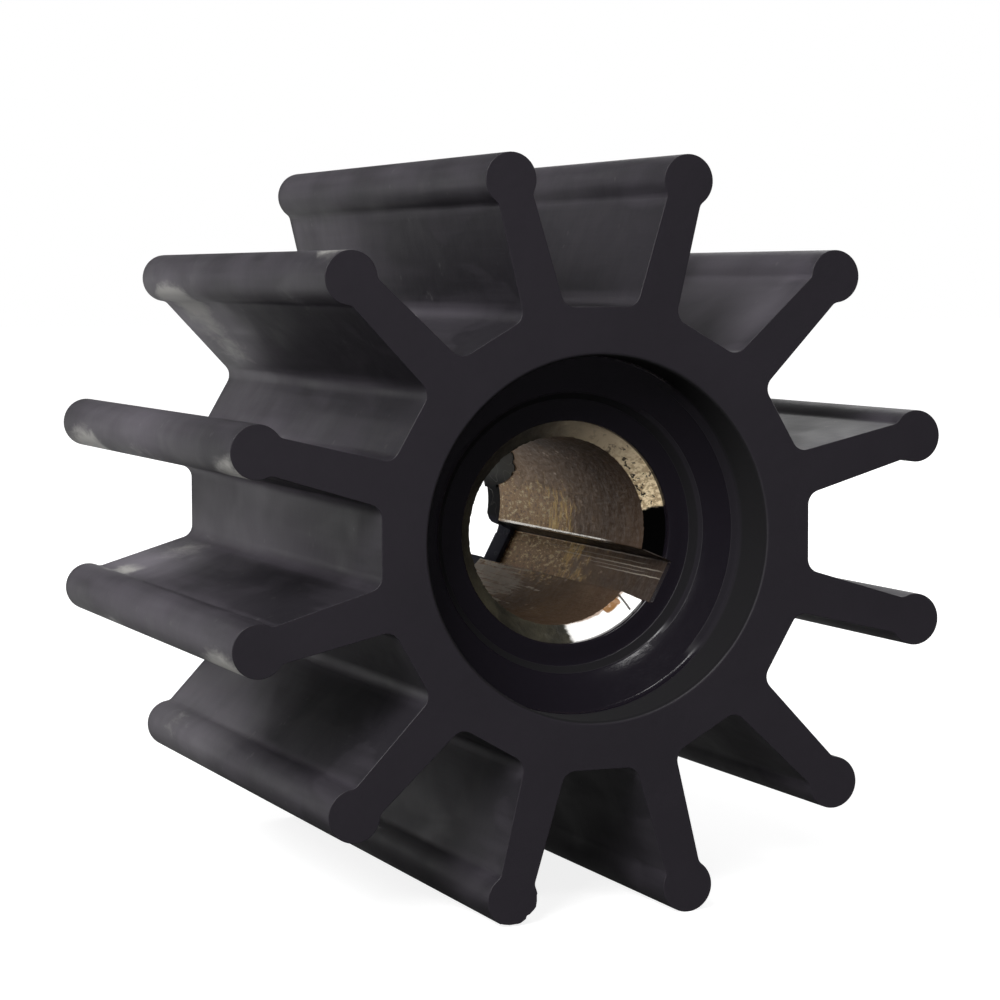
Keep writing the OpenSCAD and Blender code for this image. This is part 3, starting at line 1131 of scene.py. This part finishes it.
def addSoftbox(name, place, size, radiance):
    data = bpy.data.lights.new(name, "AREA")
    data.shape = "SQUARE"
    data.size = size
    data.energy = radiance * pi * size * size
    lamp = addObject(name, data)
    lamp.location = place
    lamp.rotation_euler = Vector(place).to_track_quat("Z", "Y").to_euler()
    lamp.visible_camera = False


def addBoreLight():
    # a narrow lamp behind the impeller that shines into the bore through its back opening
    data = bpy.data.lights.new("boreLight", "SPOT")
    data.energy = studio["boreLight"]
    data.spot_size = studio["boreSpread"]
    data.spot_blend = 1.0
    data.shadow_soft_size = studio["boreLightSize"]
    lamp = addObject("boreLight", data)
    lamp.location = studio["boreLightAt"]
    lamp.rotation_euler = (lamp.location - Vector((0, backY, 0))).to_track_quat("Z", "Y").to_euler()
    lamp.visible_camera = False


def whiteRoom():
    # the room is white to the camera, dim to matt surfaces, and to shiny ones dark in front and pale behind
    world = bpy.data.worlds.new("studio")
    tree, surface = emptyTree(world, "World")
    path = tree.nodes.new("ShaderNodeLightPath").outputs
    x, y, z = splitUp(tree.nodes.new("ShaderNodeTexCoord").outputs["Generated"])
    behind = ramp(z, *studio["roomUp"], studio["roomBack"], studio["roomTop"])
    behind = times(behind, ramp(x, *studio["roomAside"], 1.0, studio["roomRight"]))
    mirrored = mixValue(ramp(y, *studio["roomTurn"]), studio["roomFront"], behind)
    level = mixValue(path["Is Glossy Ray"], studio["roomLight"], mirrored)
    seen = calc("MAXIMUM", path["Is Camera Ray"], path["Is Transmission Ray"])
    dim = tree.nodes.new("ShaderNodeBackground")
    white = tree.nodes.new("ShaderNodeBackground")
    for node, strength in ((dim, level), (white, 1)):
        node.inputs["Color"].default_value = (1, 1, 1, 1)
        feed(node.inputs["Strength"], strength)
    mix = tree.nodes.new("ShaderNodeMixShader")
    feed(mix.inputs["Fac"], seen)
    feed(mix.inputs[1], dim.outputs[0])
    feed(mix.inputs[2], white.outputs[0])
    feed(surface, mix.outputs[0])
    bpy.context.scene.world = world


def layFloor():
    selectNothing()
    bpy.ops.mesh.primitive_plane_add(size=studio["floorSize"], location=(0, 0, rubberLow.z))
    floor = bpy.context.object
    floor.name = "floor"
    material = bpy.data.materials.new("paleFloor")
    tree, surface = emptyTree(material, "Material")
    paint = tree.nodes.new("ShaderNodeBsdfDiffuse")
    path = tree.nodes.new("ShaderNodeLightPath").outputs
    grey = minus(studio["floorGrey"], times(path["Is Glossy Ray"], studio["floorGrey"]))
    feed(paint.inputs["Color"], grey)
    glow = tree.nodes.new("ShaderNodeEmission")
    # white to the camera; in reflections it is dark in front and pale behind
    place = tree.nodes.new("ShaderNodeTexCoord").outputs["Object"]
    off = tree.nodes.new("ShaderNodeVectorMath")
    off.operation = "LENGTH"
    feed(off.inputs[0], place)
    mirrored = ramp(splitUp(place)["Y"], *studio["floorTurn"], studio["floorFront"], studio["floorBack"])
    white = ramp(off.outputs["Value"], *studio["glowReach"], studio["glowNear"], studio["glowFar"])
    shine = calc("MAXIMUM", times(path["Is Camera Ray"], white), times(path["Is Glossy Ray"], mirrored))
    feed(glow.inputs["Strength"], shine)
    both = tree.nodes.new("ShaderNodeAddShader")
    feed(both.inputs[0], paint.outputs[0])
    feed(both.inputs[1], glow.outputs[0])
    feed(surface, both.outputs[0])
    floor.data.materials.append(material)


placeCamera()
whiteRoom()
layFloor()
for name, settings in studio["softboxes"].items():
    addSoftbox(name, *settings)
addBoreLight()
bpy.context.scene.view_settings.view_transform = "Standard"
print("studio set")
